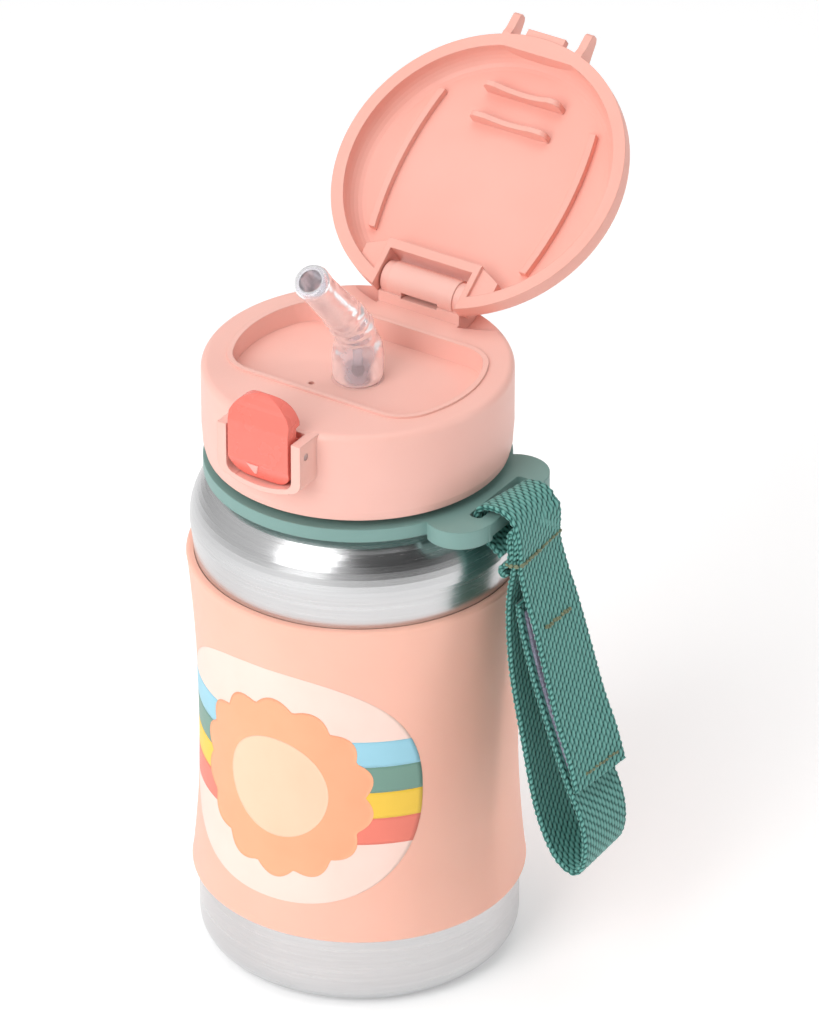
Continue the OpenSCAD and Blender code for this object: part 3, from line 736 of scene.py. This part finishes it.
cinch = [tab_face(125.4 + 0.02 * y, y, 0.16) for y in np.linspace(10.2, -9.2, 22)]
cinch_edge = [(52.9, -10.1, 125.3), (51.4, -10.5, 125.0), (49.8, -10.4, 124.8), (48.6, -10.0, 124.6)]
stitches("stitch_cinch", cinch + cinch_edge, 1.7, 0.42, "strap")
second = [(x + 0.12, y - 0.15, z + 0.45) for x, y, z in cinch[12:] + cinch_edge]
stitches("stitch_cinch_2", zigzag(second, 0.12), 1.4, 0.34, "strap")
upper = [tab_face(107.6, y, 0.2) for y in np.linspace(-6.2, 6.2, 16)]
stitches("stitch_upper", zigzag(upper, 0.3), 1.5, 0.48, "tab")
lower = [tab_face(69.6, y, 0.16) for y in np.linspace(-5.6, 8.0, 16)]
stitches("stitch_lower", zigzag(lower, 0.2), 1.5, 0.36, "tab")

# ---------------------------------------------------------------- button's return spring
def return_spring():
    """The same coil as the CAD's, in its own copy of the mesh, riding on the lid."""
    o = bpy.data.objects.new("return_spring", nodes["button_spring"].data.copy())
    bpy.context.scene.collection.objects.link(o)
    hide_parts("button_spring")
    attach(o, "lid")
    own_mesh(o)


return_spring()

# ---------------------------------------------------------------- small marks on the button
def press_mark():
    """Small raised triangle, point down, on the button's sloping lower face."""
    y_at = lambda z: -43.5 + (153.3 - z) * 2.2 / 5.1
    cx, top, low, half = -1.6, 152.9, 149.7, 1.75
    outline = [(cx - half, top), (cx + half, top), (cx + 0.35, low), (cx - 0.35, low)]
    rows = []
    for lift, shrink in ((-0.05, 1.0), (0.22, 1.0), (0.30, 0.88)):
        for x, z in outline:
            x2 = cx + (x - cx) * shrink
            z2 = (top + low) / 2 + (z - (top + low) / 2) * shrink
            rows.append((x2 * MM, (y_at(z2) - lift) * MM, z2 * MM))
    faces = grid_faces(3, 4, closed_cols=True) + [(8, 9, 10, 11)[::-1], (0, 1, 2, 3)]
    faces = [tuple(reversed(f)) for f in faces]
    pink = plastic("mark_pink", rgb(255, 178, 168), rgb(253, 170, 160), 0.35, 0.1 * MM)
    o = mesh_object("press_mark", rows, faces, pink, smooth=False)
    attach(o, "button")


press_mark()

# ---------------------------------------------------------------- stage and light
floor_mat = Mat("pale_floor", Emission_Strength=0.2)
floor_mat.bsdf.inputs["Emission Color"].default_value = (1, 1, 1, 1)
floor_tone = floor_mat.ramp(floor_mat.noise(3, 2), (0.3, (0.93, 0.93, 0.93, 1)), (0.7, (0.95, 0.95, 0.95, 1)))
floor_mat.set("Base Color", floor_tone)
floor_mat.set("Roughness", floor_mat.span(floor_mat.noise(30, 2), 0.8, 0.9))
FLOOR_HALF = 12.0
corners = [(x * FLOOR_HALF, y * FLOOR_HALF, 0) for x, y in ((-1, -1), (1, -1), (1, 1), (-1, 1))]
floor = mesh_object("floor", corners, [(0, 1, 2, 3)], floor_mat.done())

world = bpy.data.worlds.new("studio")
bpy.context.scene.world = world
world.use_nodes = True
wt = world.node_tree
background = wt.nodes["Background"]


def sky(kind, links, **props):
    n = wt.nodes.new(kind)
    for k, v in props.items():
        setattr(n, k, v)
    for k, v in links.items():
        if isinstance(v, bpy.types.NodeSocket):
            wt.links.new(v, n.inputs[k])
        else:
            n.inputs[k].default_value = v
    return n


def toward(turn, lift):
    """The direction turned so far to the right of the camera's own side, and lifted, in degrees."""
    return direction(AZIMUTH + math.radians(turn), math.radians(lift))


coord = wt.nodes.new("ShaderNodeTexCoord")
level = WORLD_LEVEL
# Soft zones of the studio: turn, lift, brightness added, how tight
ZONES = [(-80, 10, 0.24, 1.2), (-20, 80, 0.25, 1.5), (150, 20, 0.15, 1.5), (34, 47, -1.3, 7.0),
         (110, 20, -0.16, 2.0)]
for turn, lift, gain, tight in ZONES:
    d = toward(turn, lift)
    facing = sky("ShaderNodeVectorMath", {0: coord.outputs["Generated"], 1: d}, operation="DOT_PRODUCT")
    dot = facing.outputs["Value"]
    over = sky("ShaderNodeMath", {0: dot, 1: 0.0}, operation="MAXIMUM").outputs[0]
    part = sky("ShaderNodeMath", {0: over, 1: tight}, operation="POWER").outputs[0]
    part = sky("ShaderNodeMath", {0: part, 1: gain}, operation="MULTIPLY").outputs[0]
    level = sky("ShaderNodeMath", {0: level, 1: part}, operation="ADD").outputs[0]
level = sky("ShaderNodeMath", {0: level, 1: 0.05}, operation="MAXIMUM").outputs[0]
wt.links.new(level, background.inputs["Strength"])
background.inputs["Color"].default_value = (1, 1, 1, 1)


def softbox(name, turn, lift, far, w, h, power):
    data = bpy.data.lights.new(name, "AREA")
    data.shape, data.size, data.size_y, data.energy = "RECTANGLE", w, h, power
    o = bpy.data.objects.new(name, data)
    bpy.context.scene.collection.objects.link(o)
    d = toward(turn, lift)
    o.location = Vector((0, 0, 0.1)) + d * far
    o.rotation_euler = d.to_track_quat("Z", "Y").to_euler()


softbox("key", -38, 36, 1.3, 0.75, 0.95, 9.4)
softbox("side", 82, 28, 1.3, 0.26, 1.0, 3.4)
softbox("top", 0, 89, 1.6, 1.2, 1.2, 6.5)
bpy.context.scene.view_settings.view_transform = "Standard"
